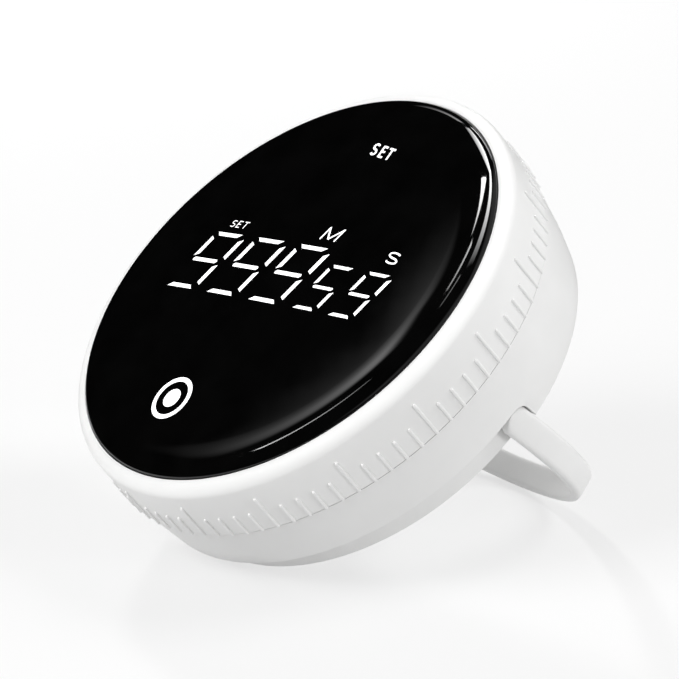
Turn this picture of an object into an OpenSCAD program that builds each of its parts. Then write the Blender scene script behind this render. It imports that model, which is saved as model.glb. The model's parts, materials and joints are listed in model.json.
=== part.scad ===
// Round digital kitchen timer with a turning dial ring, a rocking black face and a fold-out stand loop.
// Each piece is drawn about the dial's own axis: z runs out of the face, y up the face, z = 0 at the
// seam under the ring. place() then leans the timer back so that it stands on its rear rim and the loop.

/* [Dial ring] */
// Outer radius of the dial ring at the seam; the other radii follow from it
dial_r = 39; // [38.6:0.1:40]
// Height of the ring's front edge above the seam; the stack under the lens follows from it
dial_front = 10.2; // [9.8:0.1:11]
// How far the ring stands out past the housing at the seam
dial_lip = 0.15; // [0.05:0.05:0.3]
// Wall of the ring at the seam
ring_wall = 2.4; // [2.2:0.05:2.6]
// How far the ring's side leans in over its height
dial_draft = 0.2; // [0:0.05:0.3]
// Radius of the ring's rounded front edge
dial_round = 1.9; // [1:0.1:1.9]
// Gap of the seam between ring and housing
seam_gap = 0.2; // [0.15:0.05:0.4]
// Thickness of the ring's inner web, which turns on the frame
web_t = 1.6; // [1:0.1:1.8]
// Height of the web's rear face above the seam
web_z = 1; // [0.8:0.1:1.2]

/* [Scale ribs] */
// Number of ribs round the ring
tick_count = 90; // [60:5:120]
// A long rib comes after this many ribs
tick_group = 5; // [2:1:10]
// Width of a rib
tick_w = 0.5; // [0.4:0.05:1]
// How far a rib stands proud of the ring
tick_h = 0.3; // [0.1:0.05:0.5]
// Length of a short rib
tick_short = 3.8; // [2:0.1:5]
// Length of a long rib
tick_long = 6.4; // [5:0.1:7.5]
// Turn of the first long rib from three o'clock, as the dial stands
scale_turn = 7; // [0:0.5:20]
// Number of click scallops inside the ring
detent_count = 45; // [30:1:60]
// Depth of a click scallop
scallop_depth = 0.4; // [0.2:0.05:0.6]

/* [Lens] */
// Gap between lens and ring
lens_gap = 0.3; // [0.2:0.05:0.4]
// Height of the lens shoulder above the ring's front edge
lens_shoulder = 1.55; // [1:0.05:2.2]
// Radius of the lens's rounded edge
lens_round = 2.4; // [1.2:0.1:3]
// Rise of the dome from the shoulder to the middle
lens_crown = 0.95; // [0.4:0.05:1.5]
// Thickness of the lens
lens_t = 1.6; // [1.2:0.1:1.8]

/* [Rocking face] */
// Thickness of the carrier under the lens
carrier_t = 1.15; // [1:0.05:1.4]
// Distance of each key from the board's edge
key_edge = 4.3; // [4:0.1:5]
// Gap between the display and the ledge that the lens rests on
face_gap = 0.2; // [0.15:0.05:0.4]
// Drop of the rocking axis below the carrier
pivot_drop = 2.35; // [2.1:0.05:2.6]
// Radius of a trunnion pin
trunnion_r = 1; // [0.8:0.05:1.2]
// Gap between a carrier pad and its plunger
key_gap = 0.05; // [0.03:0.01:0.08]
// Radius of a plunger
plunger_r = 1.7; // [1.2:0.1:2]
// Half the stroke of a plunger
key_stroke = 0.3; // [0.2:0.05:0.35]

/* [Rear housing] */
// Wall of the housing behind the loop's rebate
wall = 1.6; // [1.4:0.05:1.8]
// Depth of the rebate that takes the folded loop
rebate_depth = 1.9; // [1.8:0.05:2.2]
// How far the housing widens from its back to the rebate's front edge
back_lean = 0.9; // [0.5:0.05:1.2]
// How far the housing widens from the rebate's front to the seam
band_lean = 1.05; // [0.6:0.05:1.4]
// Chamfer of the rear edge
back_chamfer = 0.4; // [0.2:0.1:0.8]
// Thickness of the back and of the battery door
door_t = 1.6; // [1.4:0.1:2]

/* [Stand loop] */
// Width of the loop's strip
loop_w = 4.6; // [4:0.1:5]
// Thickness of the loop's strip
loop_t = 1.5; // [1.2:0.1:1.7]
// Radial gap between rebate and folded loop
loop_gap = 0.3; // [0.2:0.05:0.4]
// Gap beside the folded loop
loop_side = 0.2; // [0.15:0.05:0.3]
// Height of the loop's hinge above the middle of the case
loop_rise = 1.9; // [1:0.1:3]
// Angle of the open loop from its folded place
loop_open = 101.2; // [95:0.2:108]
// Radius of a hinge stud
stud_r = 1.2; // [0.8:0.05:1.5]
// Depth of a hinge stud in the housing
stud_bite = 1.1; // [0.8:0.05:1.3]

/* [Batteries] */
// Diameter of a cell
cell_d = 10.5; // [10:0.1:10.8]
// Length of a cell with its nub
cell_l = 44.5; // [43.5:0.1:45]
// Gap between cells
cell_gap = 0.4; // [0.2:0.05:0.6]
// Play above and below the cells
cell_slack = 0.2; // [0.1:0.05:0.3]
// Room for a contact at each end
contact_room = 2.6; // [2:0.1:3]
// Thickness of a contact's sheet
contact_t = 0.4; // [0.3:0.05:0.5]
// Wall of the battery tub
tub_wall = 1.6; // [1.4:0.05:1.8]
// Roof of the battery tub
tub_roof = 1; // [0.8:0.05:1.2]
// Gap round the battery door
door_gap = 0.15; // [0.1:0.05:0.2]
// Ledge that the door rests on
door_ledge = 0.7; // [0.5:0.05:0.8]

/* [Frame and board] */
// Thickness of the frame's plate
plate_t = 1.2; // [1:0.05:1.3]
// Height of the posts under the board
board_gap = 1.3; // [1:0.05:1.5]
// Thickness of the boards
board_t = 1.6; // [1.2:0.1:1.7]
// Room between the main board's edge and the wall
board_edge = 4.6; // [4.4:0.05:5]
// Room between the display block's ends and the board's edge
block_edge = 2.8; // [2.4:0.1:3.4]
// Depth of the display block
block_d = 21; // [19:0.5:22]
// Room between a key switch and the carrier's pad
key_room = 0.95; // [0.75:0.05:1.3]
// Running clearance of pins and journals
run_gap = 0.05; // [0.03:0.01:0.08]

/* [Digits] */
// Climb of the row of digits across the face
digit_climb = 7.3; // [0:0.1:10]
// Lean of the digits
digit_lean = 9.5; // [0:0.5:14]
// Height of the large digits, between bar middles
big_h = 11.2; // [9:0.1:12]
// Width of the large digits, between bar middles
big_w = 7.65; // [6:0.05:8]
// Step of the large digits
big_pitch = 10.25; // [9.5:0.05:10.5]
// Height of the small digits, between bar middles
small_h = 8.5; // [7:0.1:10]
// Width of the small digits, between bar middles
small_w = 5.7; // [5:0.05:6]
// Step of the small digits
small_pitch = 8.05; // [7.5:0.05:8.5]
// Width of a bar
bar_t = 0.95; // [0.8:0.05:1.3]

/* [Fittings] */
// Radius of a case screw's shank
screw_r = 1; // [0.8:0.05:1.1]
// Radius of a case screw's head
screw_head_r = 2; // [1.7:0.05:2.1]
// Radius of a magnet
magnet_r = 5; // [4:0.1:5.1]
// Thickness of a magnet
magnet_t = 3; // [2:0.1:4]
// Gap between a magnet and the screw post beside it
magnet_gap = 0.4; // [0.3:0.05:0.8]
// Radius of the buzzer
buzzer_r = 4.5; // [4:0.1:5]
// Height of the buzzer
buzzer_h = 4.5; // [3:0.1:6]
// Travel of the volume slider to each side
volume_travel = 2; // [1:0.1:2]

/* [Hidden] */
$fn = 96;
sides = [-1, 1];
past = 1;

// Depths behind the seam: the cells set how deep the case is
tub_top = 0.1;
back_depth = door_t + cell_d + 2 * cell_slack + tub_roof - tub_top;
door_in = -back_depth + door_t;
cell_z = door_in + cell_slack + cell_d / 2;
roof_in = tub_top - tub_roof;
rebate_z = back_depth - loop_w - loop_side;
hinge_z = -back_depth + loop_w / 2;

// Battery tub and door
cell_step = cell_d + cell_gap;
tub_l = cell_l + 2 * contact_room;
tub_w = 3 * cell_d + 4 * cell_gap;
tub_edge = tub_w / 2 + tub_wall;
tub_end = tub_l / 2 + tub_wall;
door_l = tub_l + 2 * door_ledge;
door_w = tub_w + 2 * door_ledge;
door_corner = 2;
tab_w = 2;
tab_gap = 0.3;

// Radii, from the dial inwards
band_front_r = dial_r - dial_lip;
band_r = band_front_r - band_lean;
back_r = band_r - back_lean;
rebate_r = back_r - rebate_depth;
cavity_r = rebate_r - wall;
bore_r = dial_r - ring_wall;
lens_r = bore_r - lens_gap;
board_r = cavity_r - board_edge;
key_reach = board_r - key_edge;

// Heights in front of the seam: the frame and board stand on the tub's roof, the rest hangs from the dial
plate_z = tub_top + 0.2;
plate_top = plate_z + plate_t;
board_z = plate_top + board_gap;
board_top = board_z + board_t;
ledge_top = dial_front - 0.1;
carrier_z = ledge_top - carrier_t;
film_t = 0.3;
block_h = ledge_top - face_gap - film_t - board_top;
switch_h = carrier_z - key_room - board_top;

// Ring, journal and encoder
draft_angle = atan(dial_draft / dial_front);
journal_r = cavity_r + 0.2;
web_r = journal_r + run_gap;
web_top = web_z + web_t;
flange_gap = 0.3;
flange_t = 1.2;
flange_z = web_top + flange_gap;
flange_top = flange_z + flange_t;
flange_r = bore_r - 1.2;
journal_wall = 1.6;
track_t = 0.8;
track_top = -0.4;
ledge_z = track_top - track_t;
wiper_t = 0.3;
wiper_gap = 0.1;
scallop_r = 0.9;
spring_t = 0.4;
spring_r = bore_r - 1.6;
spring_z = flange_top + 0.7;
spring_h = 2.4;
spring_arc = 50;
spring_foot = 6;
detent_at = 135;
nose_r = 0.6;
nose_gap = 0.25;

// Face and its carrier
block_w = 2 * (board_r - block_edge);
carrier_in = board_r + 0.8;
carrier_out = bore_r - 1.9;
pivot_z = carrier_z - pivot_drop;
pad_w = 9;
pad_in = key_reach - 3.5;
pad_out = carrier_in + 1;
post_in = board_r + 0.7;
post_t = 2;
post_w = 6;
post_top = carrier_z - 0.25;
ear_in = post_in + post_t + 0.3;
ear_t = 2;
ear_w = 5;
pin_end = post_in - 0.1;
lens_top = dial_front + lens_shoulder;
lens_skirt = 1.4;
shoulder_r = lens_r - lens_round;
lens_foot = ledge_top - 1.5;

// Key switches
key_body = 6;
plunger_play = 0.05;
plunger_bite = 0.65;
plunger_top = carrier_z - key_gap;
plunger_foot = board_top + switch_h - plunger_bite;

// Places on the back and on the board
post_r = 3.2;
boss_r = 2.6;
boss_foot = -4;
post_gap = 0.55;
screw_ring = cavity_r - post_r + 0.4;
screw_y = tub_edge + post_r + post_gap;
screw_x = sqrt(pow(screw_ring, 2) - pow(screw_y, 2));
screw_seat = -back_depth + 6.4;
screw_head_h = 1.6;
screw_play = 0.2;
board_screw_r = 0.8;
board_screw_head_r = 1.6;
board_screw_head_h = 1;
board_screw_l = 3.6;
board_screw_ring = board_r - board_screw_head_r - 0.7;
board_screw_turn = 42.7;
board_screw_x = board_screw_ring * cos(board_screw_turn);
board_screw_y = board_screw_ring * sin(board_screw_turn);
chip_side = 7;
chip_h = 1.2;
chip_x = 9;
chip_y = block_d / 2 + 7.2;
resistor = [1.6, 0.8, 0.6];
part_step = 3;
can_r = 2;
can_h = 3.6;
magnet_x = screw_x - post_r - magnet_r - magnet_gap;
magnet_y = tub_edge + magnet_r + 1.4;
buzzer_y = tub_edge + buzzer_r + 3.9;
lead_r = 0.5;
lead_play = 0.4;
buzzer_lead_x = 1.6;
sound_hole_r = 0.6;
sound_ring_r = 2.6;
volume_y = -(tub_edge + 7.3);
volume_body = [8.8, 4, 3.2];
volume_pocket = [7.6, 2.4, 2];
slider_base = [3, 2, 1.6];
slider_stem = [2.2, 1.6];
slider_play = 0.2;
slider_sunk = 0.3;
switch_rib_x = 5.2;
switch_rib_t = 1.3;
switch_card = [13, 6.4, 1];
switch_lead_step = 2;

// Stand loop and the way the timer leans
loop_in = rebate_r + loop_gap;
loop_out = loop_in + loop_t;
notch_gap = 0.2;
tip_reach = loop_rise + loop_out;
tip_y = loop_rise - tip_reach * cos(loop_open) - loop_w / 2 * sin(loop_open);
tip_depth = tip_reach * sin(loop_open) - loop_w / 2 * cos(loop_open) - hinge_z;
tilt = atan2(tip_y + rebate_r, tip_depth - back_depth);
lift = rebate_r * cos(tilt) + back_depth * sin(tilt);
heel_y = loop_rise - tip_reach * cos(loop_open) + loop_w / 2 * sin(loop_open);
heel_depth = tip_reach * sin(loop_open) + loop_w / 2 * cos(loop_open) - hinge_z;
reach_back = heel_y * sin(tilt) + heel_depth * cos(tilt);
round_r = dial_r - dial_draft - dial_round;
round_z = dial_front - dial_round;
reach_front = round_r * sin(tilt) + round_z * cos(tilt) + dial_round;

// Row of digits: [place along the row, height, width] of each digit
digit_base = -5.25;
digit_start = -19;
small_start = 10.75;
digits = [
    for (i = [0:2]) [digit_start + i * big_pitch, big_h, big_w],
    for (i = [0:1]) [small_start + i * small_pitch, small_h, small_w]
];
bar_play = 0.3;
bar_depth = 0.6;

function round_edge(centre, r, from, to, steps) =
    [for (i = [0:steps]) let (a = from + (to - from) * i / steps) centre + r * [cos(a), sin(a)]];

// Points of the lens dome from one radius to another, for a dome this high in the middle
function dome(from, to, z_mid, steps) =
    [for (i = [0:steps]) let (r = from + (to - from) * i / steps)
        [r, z_mid - lens_crown * pow(r / shoulder_r, 2)]];

// A point of the display, given along the row and up from its base line, on the face
function on_face(p) = [
    p[0] * cos(digit_climb) + p[1] * sin(digit_lean),
    digit_base + p[0] * sin(digit_climb) + p[1] * cos(digit_lean)
];

// The seven bars of a digit: [middle, length, upright or not]
function bars(h, w) = [
    [[0, h], w, false], [[0, h / 2], w, false], [[0, 0], w, false],
    [[-w / 2, h * 0.75], h / 2, true], [[w / 2, h * 0.75], h / 2, true],
    [[-w / 2, h * 0.25], h / 2, true], [[w / 2, h * 0.25], h / 2, true]
];

function bar_outline(l, t) = let (e = l / 2 - bar_play, n = e - t / 2, k = t / 2)
    [[-e, 0], [-n, k], [n, k], [e, 0], [n, -k], [-n, -k]];

module place() {
    translate([0, (reach_front - reach_back) / 2, lift]) rotate([90 - tilt, 0, 0]) children();
}

module rounded_plate(l, w, r, h) {
    linear_extrude(h) union() {
        square([l - 2 * r, w], center = true);
        square([l, w - 2 * r], center = true);
        for (x = sides, y = sides) translate([x * (l / 2 - r), y * (w / 2 - r)]) circle(r);
    }
}

module tube(r_in, r_out, h) {
    difference() {
        cylinder(r = r_out, h = h);
        translate([0, 0, -past]) cylinder(r = r_in, h = h + 2 * past);
    }
}

module box(size, at) {
    translate(at) translate([-size[0] / 2, -size[1] / 2, 0]) cube(size);
}

module at_screws() {
    for (x = sides, y = sides)
        translate([x * screw_x, y * screw_y, 0]) children();
}

module at_board_screws() {
    for (x = sides, y = sides)
        translate([x * board_screw_x, y * board_screw_y, 0]) children();
}

module at_buzzer_leads() {
    for (x = sides) translate([x * buzzer_lead_x, buzzer_y, 0]) children();
}

module at_switch_leads() {
    for (i = [-1:1]) translate([i * switch_lead_step, volume_y, 0]) children();
}

module at_tabs() {
    for (x = sides) translate([x * (tub_l - contact_t) / 2, x * cell_step, 0]) children();
}

module tab_slot(from, h) {
    box([contact_t + 2 * tab_gap, tab_w + 2 * tab_gap, h + 2 * past], [0, 0, from - past]);
}

module lead_hole() {
    translate([0, 0, plate_z - past]) cylinder(r = lead_r + lead_play, h = plate_t + 2 * past);
}

// Rear housing

module housing_shell() {
    outline = [
        [0, -back_depth], [back_r - back_chamfer, -back_depth], [back_r, -back_depth + back_chamfer],
        [band_r, -rebate_z], [band_front_r, -seam_gap / 2], [bore_r, -seam_gap / 2], [bore_r, ledge_z],
        [cavity_r, ledge_z], [cavity_r, door_in], [0, door_in]
    ];
    difference() {
        rotate_extrude($fn = 180) polygon(outline);
        translate([0, 0, -rebate_z + wall])
            tube(cavity_r + wall - 0.2, band_r - wall + 0.2, rebate_z);
    }
}

module loop_rebate() {
    knuckle_room = loop_w / 2 + notch_gap;
    intersection() {
        translate([0, 0, -back_depth - past]) tube(rebate_r, dial_r + past, back_depth - rebate_z + past);
        translate([-2 * dial_r, loop_rise - 4 * dial_r, -2 * dial_r]) cube(4 * dial_r);
    }
    for (s = [0, 1]) mirror([s, 0, 0]) translate([rebate_r, loop_rise, hinge_z]) {
        rotate([0, 90, 0]) cylinder(r = knuckle_room, h = loop_w);
        rotate([loop_open, 0, 0])
            translate([0, -2 * loop_w, -knuckle_room]) cube([loop_w, 2 * loop_w, 2 * knuckle_room]);
        translate([-stud_bite - notch_gap, 0, 0]) rotate([0, 90, 0])
            cylinder(r = stud_r + run_gap, h = loop_w);
    }
}

module rear_housing() {
    color("white") difference() {
        union() {
            housing_shell();
            intersection() {
                box([2 * tub_end, 2 * tub_edge, tub_top - door_in], [0, 0, door_in]);
                translate([0, 0, door_in]) cylinder(r = rebate_r, h = tub_top - door_in, $fn = 180);
            }
            at_screws() translate([0, 0, door_in]) cylinder(r = post_r, h = boss_foot - door_in);
            for (x = sides)
                box([switch_rib_t, switch_card[1], volume_body[2]], [x * switch_rib_x, volume_y, door_in]);
        }
        box([tub_l, tub_w, roof_in + back_depth + past], [0, 0, -back_depth - past]);
        translate([0, 0, -back_depth - past])
            rounded_plate(door_l + 2 * door_gap, door_w + 2 * door_gap, door_corner, door_t + past);
        at_screws() {
            translate([0, 0, -back_depth - past])
                cylinder(r = screw_head_r + screw_play, h = screw_seat + back_depth + past);
            translate([0, 0, -back_depth]) cylinder(r = screw_r + screw_play, h = back_depth);
        }
        translate([0, buzzer_y, -back_depth - past]) {
            cylinder(r = sound_hole_r, h = door_t + 2 * past);
            for (i = [0:5]) rotate(60 * i) translate([sound_ring_r, 0, 0])
                cylinder(r = sound_hole_r, h = door_t + 2 * past);
        }
        box(
            [slider_stem[0] + 2 * (volume_travel + slider_play), slider_stem[1] + 2 * slider_play,
             door_t + 2 * past],
            [0, volume_y, -back_depth - past]
        );
        at_tabs() tab_slot(roof_in, tub_roof);
        loop_rebate();
    }
}

module battery_door() {
    grip_w = 12;
    grip_step = 1.4;
    grip_r = 0.5;
    color("white") difference() {
        translate([0, 0, -back_depth]) rounded_plate(door_l, door_w, door_corner, door_t);
        for (i = [0:3]) translate([-grip_w / 2, door_w / 2 - 3 - i * grip_step, -back_depth])
            rotate([0, 90, 0]) cylinder(r = grip_r, h = grip_w);
    }
}

// Power: cells, contacts, magnets

module cell(row, nub_side) {
    nub_r = 1.9;
    nub_l = 1;
    color("silver") translate([0, row * cell_step, cell_z]) mirror([nub_side > 0 ? 0 : 1, 0, 0])
        translate([-cell_l / 2, 0, 0]) rotate([0, 90, 0]) union() {
            cylinder(r = cell_d / 2, h = cell_l - nub_l);
            cylinder(r = nub_r, h = cell_l);
        }
}

module battery_1() {
    cell(1, -1);
}

module battery_2() {
    cell(0, 1);
}

module battery_3() {
    cell(-1, -1);
}

// Sheet of one end wall, raised to a button at each cell; a tab of the single sheet rises to the board
module contact_sheet(side, rows, has_tab) {
    sheet_d = 7;
    button_r = 1.6;
    low = min(rows) * cell_step - sheet_d / 2;
    high = max(rows) * cell_step + sheet_d / 2;
    mirror([side > 0 ? 0 : 1, 0, 0]) {
        translate([tub_l / 2 - contact_t, low, cell_z - sheet_d / 2]) cube([contact_t, high - low, sheet_d]);
        for (row = rows) translate([cell_l / 2, row * cell_step, cell_z]) rotate([0, 90, 0])
            cylinder(r = button_r, h = contact_room);
        if (has_tab) translate([tub_l / 2 - contact_t, rows[0] * cell_step - tab_w / 2, cell_z])
            cube([contact_t, tab_w, board_top - 0.2 - cell_z]);
    }
}

module contacts_left() {
    color("goldenrod") {
        contact_sheet(-1, [0, 1], false);
        contact_sheet(-1, [-1], true);
    }
}

module contacts_right() {
    color("goldenrod") {
        contact_sheet(1, [-1, 0], false);
        contact_sheet(1, [1], true);
    }
}

module magnets() {
    color("dimgray") for (x = sides, y = sides)
        translate([x * magnet_x, y * magnet_y, door_in]) cylinder(r = magnet_r, h = magnet_t);
}

// Sound and volume

module buzzer() {
    vent_r = 1;
    color("black") translate([0, buzzer_y, door_in]) difference() {
        cylinder(r = buzzer_r, h = buzzer_h);
        translate([0, 0, -past]) cylinder(r = vent_r, h = buzzer_h / 2 + past);
    }
}

module buzzer_leads() {
    foot = door_in + buzzer_h;
    color("red") at_buzzer_leads() translate([0, 0, foot]) cylinder(r = lead_r, h = board_z - foot);
}

module volume_switch() {
    color("black") difference() {
        box(volume_body, [0, volume_y, door_in]);
        box([volume_pocket[0], volume_pocket[1], volume_pocket[2] + past], [0, volume_y, door_in - past]);
    }
}

module volume_slider() {
    base_z = door_in + slider_play;
    color("gray") {
        box(slider_base, [0, volume_y, base_z]);
        box([slider_stem[0], slider_stem[1], base_z + back_depth - slider_sunk + slider_base[2] / 2],
            [0, volume_y, -back_depth + slider_sunk]);
    }
}

module switch_board() {
    color("green") box(switch_card, [0, volume_y, door_in + volume_body[2]]);
}

module switch_leads() {
    foot = door_in + volume_body[2] + switch_card[2];
    color("yellow") at_switch_leads() translate([0, 0, foot]) cylinder(r = lead_r, h = board_z - foot);
}

// Frame, encoder and click spring

module mid_frame() {
    color("dimgray") difference() {
        union() {
            translate([0, 0, plate_z]) cylinder(r = journal_r, h = plate_t);
            translate([0, 0, plate_z]) tube(journal_r - journal_wall, journal_r, flange_top - plate_z);
            translate([0, 0, flange_z]) tube(journal_r - journal_wall, flange_r, flange_t);
            at_screws() translate([0, 0, boss_foot]) cylinder(r = boss_r, h = plate_top - boss_foot);
            at_board_screws() translate([0, 0, plate_z])
                cylinder(r = board_screw_head_r + 0.6, h = board_z - plate_z);
            for (x = sides)
                box([post_t, post_w, post_top - plate_z], [x * (post_in + post_t / 2), 0, plate_z]);
            for (a = [-1, 1]) rotate(detent_at + a * (spring_arc - spring_foot) / 2 - spring_foot / 2)
                translate([0, 0, flange_z]) rotate_extrude(angle = spring_foot)
                    translate([spring_r - 0.8, 0]) square([0.8, spring_z + spring_h - flange_z]);
        }
        at_screws() translate([0, 0, boss_foot - past])
            cylinder(r = screw_r + run_gap, h = plate_z - boss_foot + past);
        at_board_screws() translate([0, 0, board_top - board_screw_l - run_gap])
            cylinder(r = board_screw_r + run_gap, h = board_screw_l);
        translate([-post_in - 2 * post_t, 0, pivot_z]) rotate([0, 90, 0])
            cylinder(r = trunnion_r + run_gap, h = 2 * (post_in + 2 * post_t));
        at_buzzer_leads() lead_hole();
        at_switch_leads() lead_hole();
        at_tabs() tab_slot(plate_z, plate_t);
    }
}

module encoder_track() {
    color("green") translate([0, 0, ledge_z]) tube(cavity_r + 0.4, bore_r - 0.2, track_t);
}

module encoder_wiper() {
    arc = 16;
    finger = [0.5, 1.2];
    inner = journal_r + 0.7;
    width = bore_r - 0.6 - inner;
    color("goldenrod") {
        translate([0, 0, web_z - wiper_t]) rotate(-arc / 2) rotate_extrude(angle = arc)
            translate([inner, 0]) square([width, wiper_t]);
        for (i = [0:2]) box(
            [finger[0], finger[1], web_z - wiper_t / 2 - track_top - wiper_gap],
            [inner + width * (2 * i + 1) / 6, 0, track_top + wiper_gap]
        );
    }
}

module detent_spring() {
    color("silver") {
        translate([0, 0, spring_z]) rotate(detent_at - spring_arc / 2) rotate_extrude(angle = spring_arc)
            translate([spring_r, 0]) square([spring_t, spring_h]);
        rotate(detent_at) translate([bore_r - nose_gap - nose_r, 0, spring_z])
            cylinder(r = nose_r, h = spring_h, $fn = 32);
    }
}

// Dial ring

module rib(l) {
    root = 0.5;
    translate([dial_r, 0, seam_gap / 2]) rotate([0, -draft_angle, 0])
        translate([-root, -tick_w / 2, 0]) cube([root + tick_h, tick_w, l]);
}

module dial_ring() {
    outline = concat(
        [[bore_r, dial_front]],
        round_edge([round_r, round_z], dial_round, 90, 0, 12),
        [[dial_r, seam_gap / 2], [bore_r, seam_gap / 2], [bore_r, web_z], [web_r, web_z],
         [web_r, web_top], [bore_r, web_top]]
    );
    color("white") difference() {
        union() {
            rotate_extrude($fn = 180) polygon(outline);
            for (i = [0:tick_count - 1]) rotate(scale_turn + 360 * i / tick_count)
                rib(i % tick_group == 0 ? tick_long : tick_short);
        }
        for (i = [0:detent_count - 1]) rotate(detent_at + 360 * i / detent_count)
            translate([bore_r + scallop_depth - scallop_r, 0, spring_z - 0.2])
                cylinder(r = scallop_r, h = spring_h + 0.4, $fn = 32);
    }
}

// Board and display

module main_board() {
    color("darkgreen") difference() {
        translate([0, 0, board_z]) cylinder(r = board_r, h = board_t);
        at_board_screws() translate([0, 0, board_z - past])
            cylinder(r = board_screw_r + screw_play, h = board_t + 2 * past);
        at_tabs() tab_slot(board_z, board_t);
    }
}

module controller_chip() {
    color("black") box([chip_side, chip_side, chip_h], [-chip_x, chip_y, board_top]);
}

module board_parts() {
    color("tan") {
        for (i = [0:2], y = [0, 1])
            box(resistor, [chip_x + (i - 1) * part_step, chip_y + (y - 0.5) * part_step, board_top]);
        for (i = [0:2]) box(resistor, [-chip_x + (i - 1) * part_step, -chip_y, board_top]);
        translate([chip_x, -chip_y, board_top]) cylinder(r = can_r, h = can_h);
    }
}

module board_screws() {
    color("silver") at_board_screws() {
        translate([0, 0, board_top]) cylinder(r = board_screw_head_r, h = board_screw_head_h);
        translate([0, 0, board_top - board_screw_l]) cylinder(r = board_screw_r, h = board_screw_l + 0.5);
    }
}

module all_bars(t, from, h) {
    translate([0, 0, from]) linear_extrude(h) for (d = digits, b = bars(d[1], d[2])) {
        outline = bar_outline(b[1], t);
        polygon([for (p = outline) on_face([d[0], 0] + b[0] + (b[2] ? [p[1], p[0]] : p))]);
    }
}

module display_block() {
    color("black") difference() {
        rotate(digit_climb) box([block_w, block_d, block_h], [0, 0, board_top]);
        all_bars(bar_t, board_top + block_h - bar_depth, bar_depth + past);
    }
}

module segment_lights() {
    color("ivory") all_bars(bar_t, board_top + block_h - bar_depth, bar_depth);
}

module diffuser_film() {
    color("gray") rotate(digit_climb) box([block_w, block_d, film_t], [0, 0, board_top + block_h]);
}

// Keys under the face

module key_switch(y) {
    color("black") difference() {
        box([key_body, key_body, switch_h], [0, y, board_top]);
        translate([0, y, plunger_foot - key_stroke - plunger_play])
            cylinder(r = plunger_r + plunger_play, h = switch_h);
    }
}

module plunger(y) {
    color("ivory") translate([0, y, plunger_foot]) cylinder(r = plunger_r, h = plunger_top - plunger_foot);
}

module set_switch() {
    key_switch(key_reach);
}

module set_plunger() {
    plunger(key_reach);
}

module start_switch() {
    key_switch(-key_reach);
}

module start_plunger() {
    plunger(-key_reach);
}

// Face

module lens_carrier() {
    color("black") {
        translate([0, 0, carrier_z]) tube(carrier_in, carrier_out, carrier_t);
        for (y = sides)
            box([pad_w, pad_out - pad_in, carrier_t], [0, y * (pad_out + pad_in) / 2, carrier_z]);
        for (s = [0, 1]) mirror([s, 0, 0]) {
            box([ear_t, ear_w, ledge_top - 0.3 - pivot_z + trunnion_r + 0.4],
                [ear_in + ear_t / 2, 0, pivot_z - trunnion_r - 0.4]);
            translate([pin_end, 0, pivot_z]) rotate([0, 90, 0])
                cylinder(r = trunnion_r, h = ear_in + ear_t / 2 - pin_end);
        }
    }
}

module lens() {
    inner_r = carrier_in + 0.4;
    skirt_r = lens_r - lens_skirt;
    outline = concat(
        dome(0, shoulder_r, lens_top + lens_crown, 10),
        round_edge([shoulder_r, lens_top - lens_round], lens_round, 80, 0, 8),
        [[lens_r, lens_foot], [skirt_r, lens_foot], [skirt_r, ledge_top], [inner_r, ledge_top]],
        dome(inner_r, 0, lens_top + lens_crown - lens_t, 6)
    );
    color("black") rotate_extrude($fn = 180) polygon(outline);
}

// Stand loop, drawn folded about its hinge and then opened

module stand_loop() {
    color("white") translate([0, loop_rise, hinge_z]) rotate([loop_open, 0, 0]) {
        translate([0, -loop_rise, -loop_w / 2]) rotate(180) rotate_extrude(angle = 180, $fn = 180)
            translate([loop_in, 0]) square([loop_t, loop_w]);
        for (s = [0, 1]) mirror([s, 0, 0]) {
            translate([loop_in, -loop_rise, -loop_w / 2]) cube([loop_t, loop_rise, loop_w]);
            translate([loop_in, 0, 0]) rotate([0, 90, 0]) cylinder(r = loop_w / 2, h = loop_t);
            translate([rebate_r - stud_bite, 0, 0]) rotate([0, 90, 0])
                cylinder(r = stud_r, h = stud_bite + loop_gap + loop_t / 2);
        }
    }
}

// Fasteners

module case_screws() {
    color("silver") at_screws() {
        translate([0, 0, screw_seat - screw_head_h]) cylinder(r = screw_head_r, h = screw_head_h);
        translate([0, 0, screw_seat - 0.5]) cylinder(r = screw_r, h = plate_z - screw_seat);
    }
}

place() rear_housing();
place() battery_door();
place() battery_1();
place() battery_2();
place() battery_3();
place() contacts_left();
place() contacts_right();
place() magnets();
place() buzzer();
place() buzzer_leads();
place() volume_switch();
place() volume_slider();
place() switch_board();
place() switch_leads();
place() mid_frame();
place() encoder_track();
place() encoder_wiper();
place() detent_spring();
place() dial_ring();
place() main_board();
place() controller_chip();
place() board_parts();
place() board_screws();
place() display_block();
place() segment_lights();
place() diffuser_film();
place() set_switch();
place() set_plunger();
place() start_switch();
place() start_plunger();
place() lens_carrier();
place() lens();
place() stand_loop();
place() case_screws();
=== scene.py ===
# %% [markdown]
# # A round kitchen timer that leans on its stand loop
# The timer is a white dial ring that turns round a black rocking face, on a white case with a fold-out loop.
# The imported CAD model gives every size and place. This file adds what the solids lack: soft edges, smooth
# curves, print and finishes. It starts from the frame, because a piece that takes its place from the frame
# needs no fitting by hand.

# %% Load the frame
import json
import math

import bmesh
import bpy
import numpy as np
from mathutils import Matrix, Vector


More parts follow.
